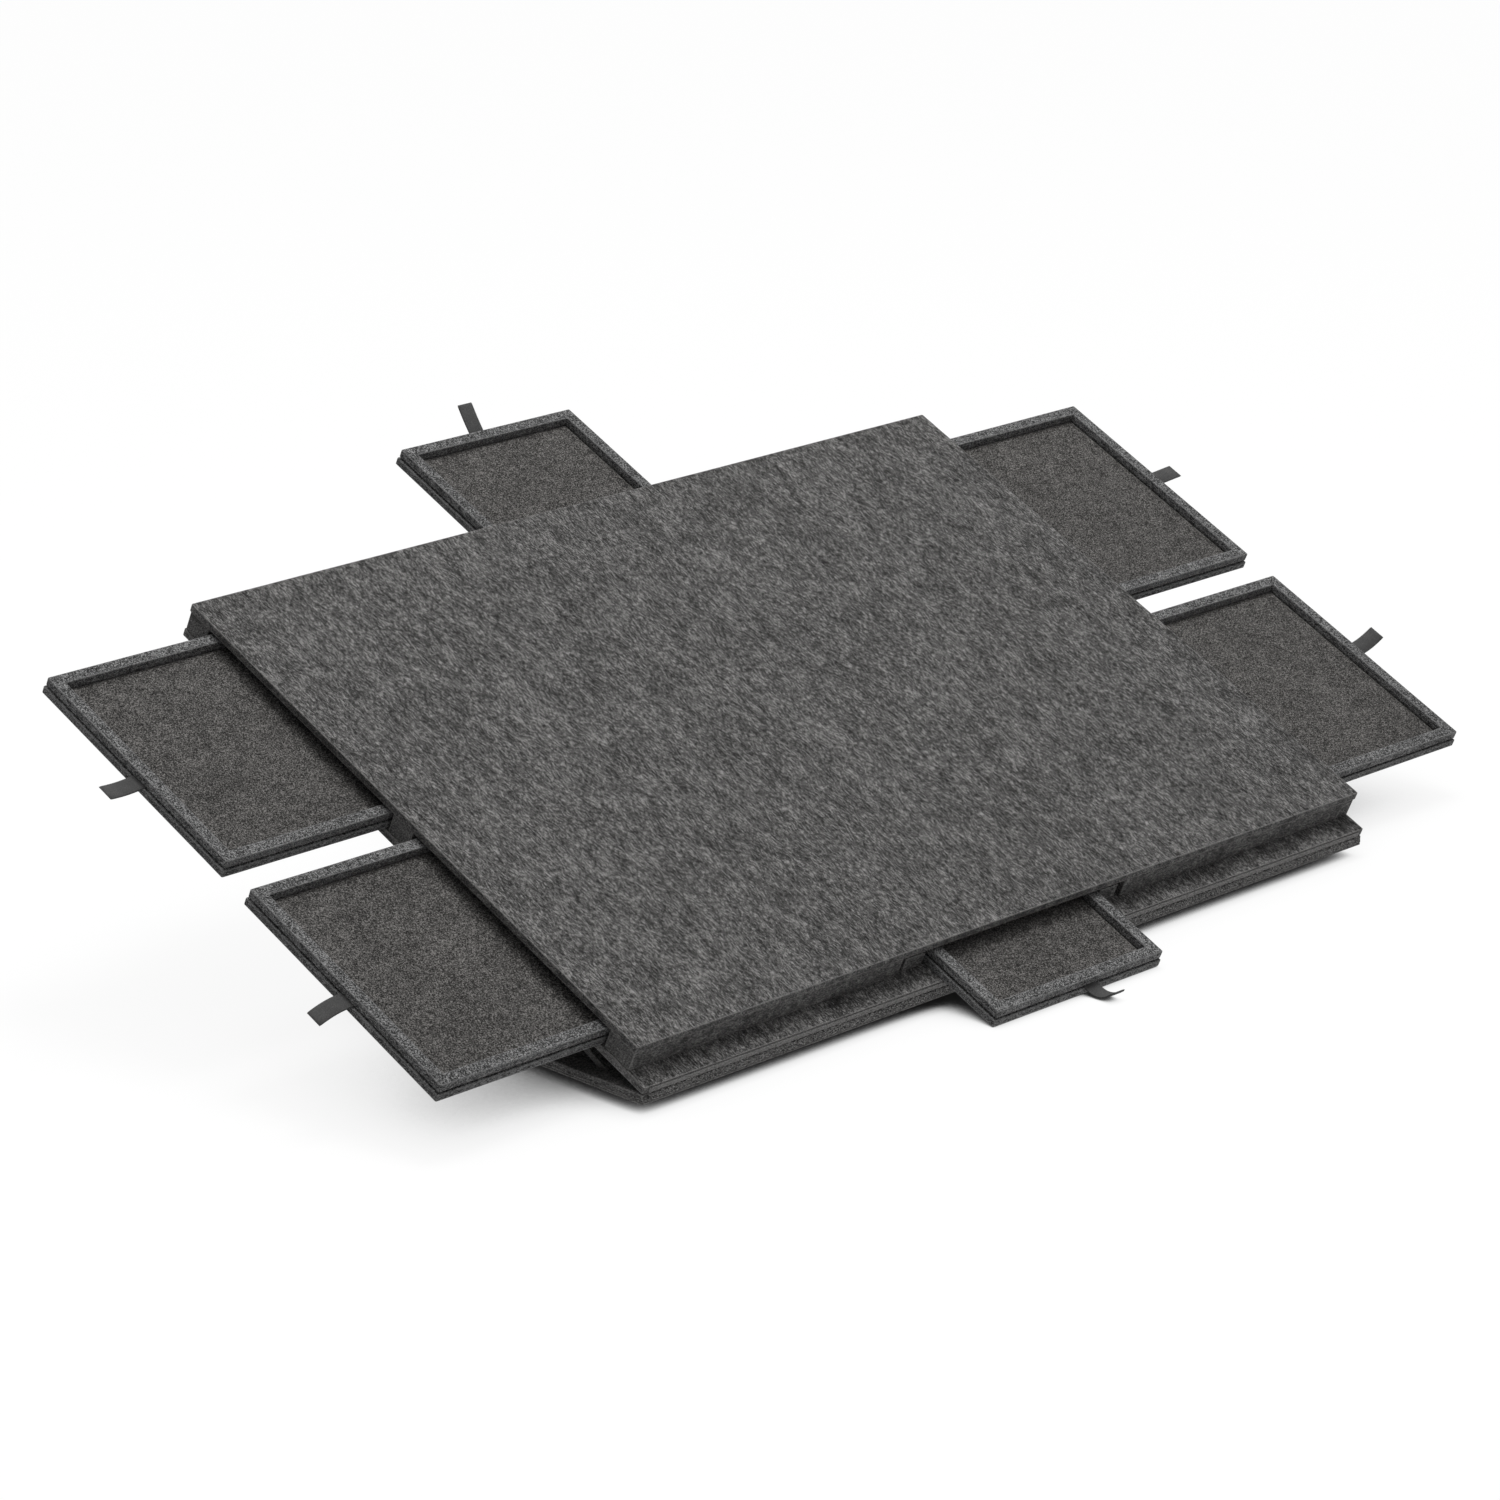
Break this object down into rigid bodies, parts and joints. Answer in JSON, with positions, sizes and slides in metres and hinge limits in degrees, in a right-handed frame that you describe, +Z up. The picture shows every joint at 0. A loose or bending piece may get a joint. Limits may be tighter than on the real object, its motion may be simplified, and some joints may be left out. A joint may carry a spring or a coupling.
{
  "type": "jigsaw puzzle table",
  "caption": "Tilting felt-covered puzzle table: flat top on a drawer case with shallow drawers on all sides, hinged to a base leaf and held up by a folding prop flap.",
  "frame": {"origin": "floor level, at the centre of the sole of the middle foot in the front row", "axes": "+X to the right along the front edge, +Y to the back, +Z up"},
  "size_m": [1.2722, 0.7666, 0.3564],
  "materials": {
    "wrapped_board": "fibreboard wrapped in charcoal melange felt",
    "felt": "charcoal melange needle felt with pale streaks",
    "strap": "stitched dark felt strap",
    "hinge_cloth": "charcoal cloth hinge tape",
    "rubber": "matt black rubber",
    "pin_steel": "drawn steel pin"
  },
  "bodies": {
    "base": {"base_feet": "rubber", "base_underlay": "felt", "base_front_strip": "wrapped_board", "base_back_strip": "wrapped_board", "base_left_strip": "wrapped_board", "base_right_strip": "wrapped_board", "flap_pins": "pin_steel", "hinge_tape_base_leaf": "hinge_cloth"},
    "case": {"hinge_tape_case_leaf": "hinge_cloth", "bottom_board": "wrapped_board", "flap_grip_strip": "rubber", "bottom_felt": "felt", "top_board": "wrapped_board", "top_felt": "felt", "left_front_rail": "wrapped_board", "left_middle_rail": "wrapped_board", "left_back_rail": "wrapped_board", "right_front_rail": "wrapped_board", "right_middle_rail": "wrapped_board", "right_back_rail": "wrapped_board", "left_divider": "wrapped_board", "right_divider": "wrapped_board", "middle_stop": "wrapped_board"},
    "prop": {"prop_flap": "wrapped_board"},
    "left_back_drawer": {"left_back_drawer_floor": "wrapped_board", "left_back_drawer_rim": "wrapped_board", "left_back_drawer_liner": "felt", "left_back_drawer_tab": "strap"},
    "left_front_drawer": {"left_front_drawer_floor": "wrapped_board", "left_front_drawer_rim": "wrapped_board", "left_front_drawer_liner": "felt", "left_front_drawer_tab": "strap"},
    "right_back_drawer": {"right_back_drawer_floor": "wrapped_board", "right_back_drawer_rim": "wrapped_board", "right_back_drawer_liner": "felt", "right_back_drawer_tab": "strap"},
    "right_front_drawer": {"right_front_drawer_floor": "wrapped_board", "right_front_drawer_rim": "wrapped_board", "right_front_drawer_liner": "felt", "right_front_drawer_tab": "strap"},
    "front_drawer": {"front_drawer_floor": "wrapped_board", "front_drawer_rim": "wrapped_board", "front_drawer_liner": "felt", "front_drawer_tab": "strap"},
    "back_drawer": {"back_drawer_floor": "wrapped_board", "back_drawer_rim": "wrapped_board", "back_drawer_liner": "felt", "back_drawer_tab": "strap"}
  },
  "joints": [
    {"name": "case_tilt", "type": "hinge", "parent": "base", "child": "case", "pos_m": [0, -0.045, 0.0192], "axis": [1, 0, 0], "range_deg": [-24.4, 0]},
    {"name": "flap_fold", "type": "hinge", "parent": "base", "child": "prop", "pos_m": [0, 0.013, 0.0153], "axis": [1, 0, 0], "range_deg": [-29.95, 0]},
    {"name": "left_back_drawer_slide", "type": "slide", "parent": "case", "child": "left_back_drawer", "axis": [-1, 0, 0], "range_m": [-0.1685, 0.0755]},
    {"name": "left_front_drawer_slide", "type": "slide", "parent": "case", "child": "left_front_drawer", "axis": [-1, 0, 0], "range_m": [-0.171, 0.073]},
    {"name": "right_back_drawer_slide", "type": "slide", "parent": "case", "child": "right_back_drawer", "axis": [1, 0, 0], "range_m": [-0.1855, 0.0585]},
    {"name": "right_front_drawer_slide", "type": "slide", "parent": "case", "child": "right_front_drawer", "axis": [1, 0, 0], "range_m": [-0.1855, 0.0585]},
    {"name": "front_drawer_slide", "type": "slide", "parent": "case", "child": "front_drawer", "axis": [0, -0.9107, -0.4131], "range_m": [-0.0827, 0]},
    {"name": "back_drawer_slide", "type": "slide", "parent": "case", "child": "back_drawer", "axis": [0, 0.9107, 0.4131], "range_m": [-0.1307, 0.0988]}
  ],
  "couplings": [
    {"joint": "flap_fold", "follows": "case_tilt", "ratio": 1.2268}
  ]
}
